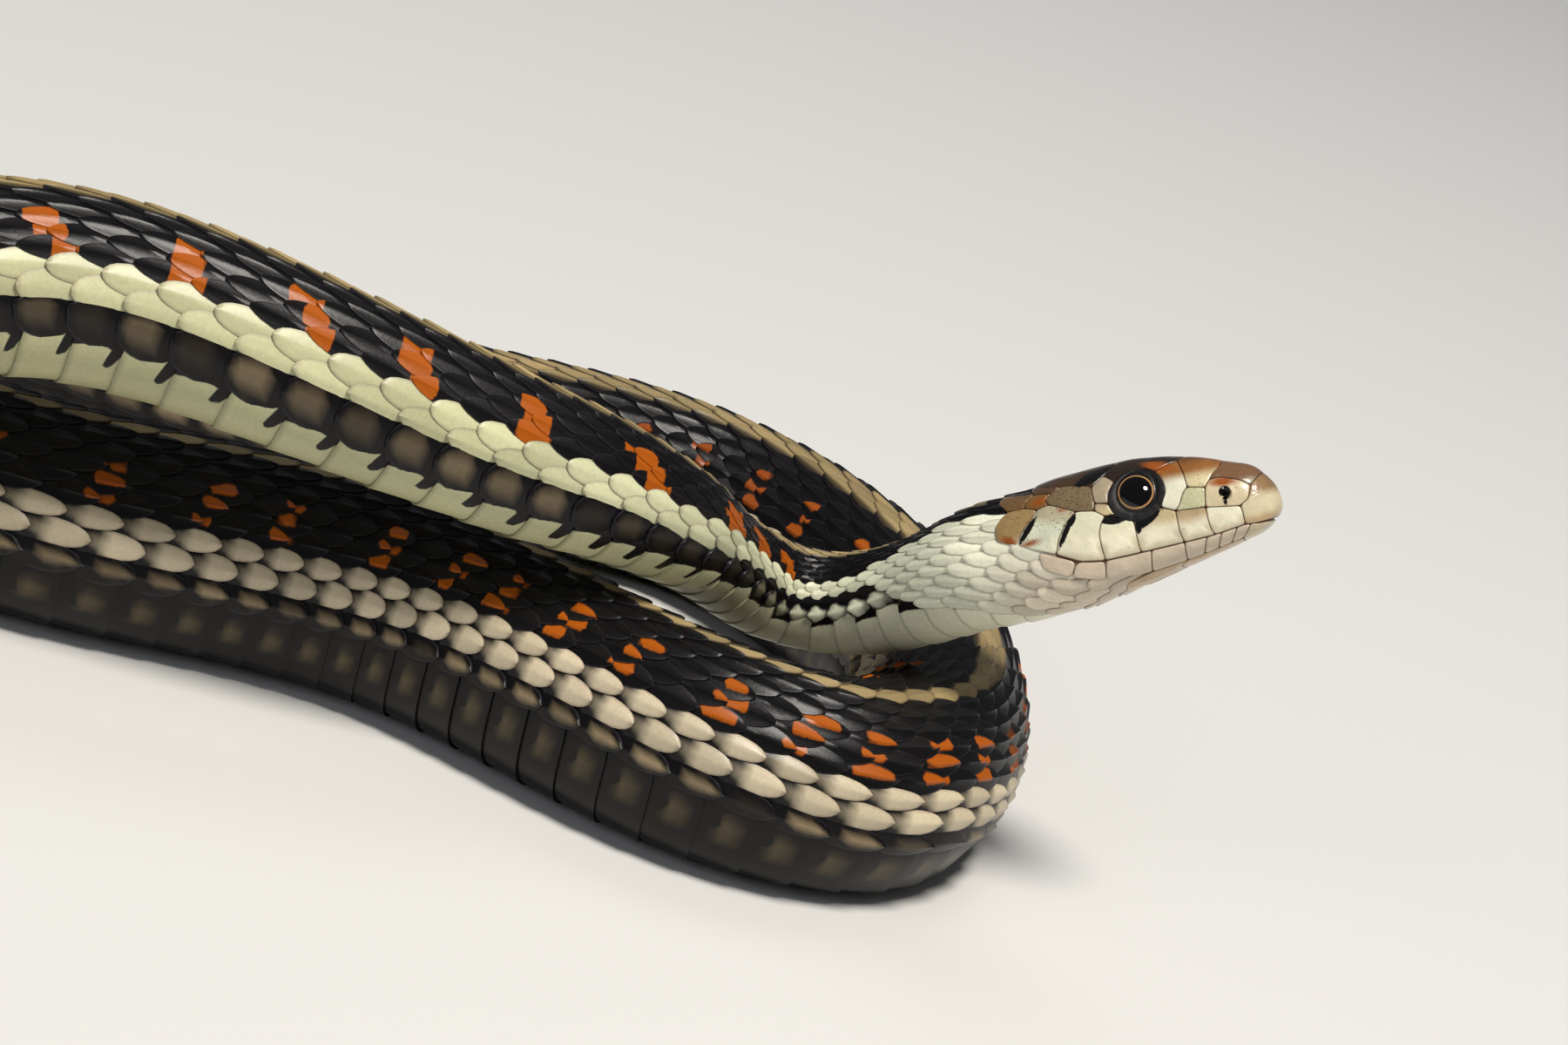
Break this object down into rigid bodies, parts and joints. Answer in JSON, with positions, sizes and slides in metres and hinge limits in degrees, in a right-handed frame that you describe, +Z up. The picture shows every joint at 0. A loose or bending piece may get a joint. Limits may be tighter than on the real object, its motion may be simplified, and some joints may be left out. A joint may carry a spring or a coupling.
{
  "type": "garter snake",
  "caption": "Life-size still model of a garter snake lying in a loose coil, its front body crossing over and its head raised.",
  "frame": {"origin": "on the floor, under the middle of the belly at the near bend of the coil", "axes": "+Z up; +X along the near stretch of the body towards the bend, the way the head points; +Y away from the viewer"},
  "size_m": [0.2068, 0.1216, 0.0427],
  "materials": {
    "head_plates": "smooth, slightly glossy horn plates",
    "chin_plates": "smooth, slightly glossy horn plates",
    "neck_scales": "keeled overlapping scales",
    "body_scales": "keeled overlapping scales",
    "tail_scales": "keeled overlapping scales",
    "eye": "clear and wet-looking over a black pupil"
  },
  "bodies": {
    "root": {"head": "head_plates", "lower_jaw": "chin_plates", "eye_right": "eye", "eye_left": "eye", "neck": "neck_scales", "body_01": "body_scales", "body_02": "body_scales", "body_03": "body_scales", "body_04": "body_scales", "body_05": "body_scales", "body_06": "body_scales", "body_07": "body_scales", "body_08": "body_scales", "body_09": "body_scales", "body_10": "body_scales", "body_11": "body_scales", "body_12": "body_scales", "body_13": "body_scales", "body_14": "body_scales", "body_15": "body_scales", "body_16": "body_scales", "tail_01": "tail_scales", "tail_02": "tail_scales", "tail_03": "tail_scales"}
  },
  "joints": []
}
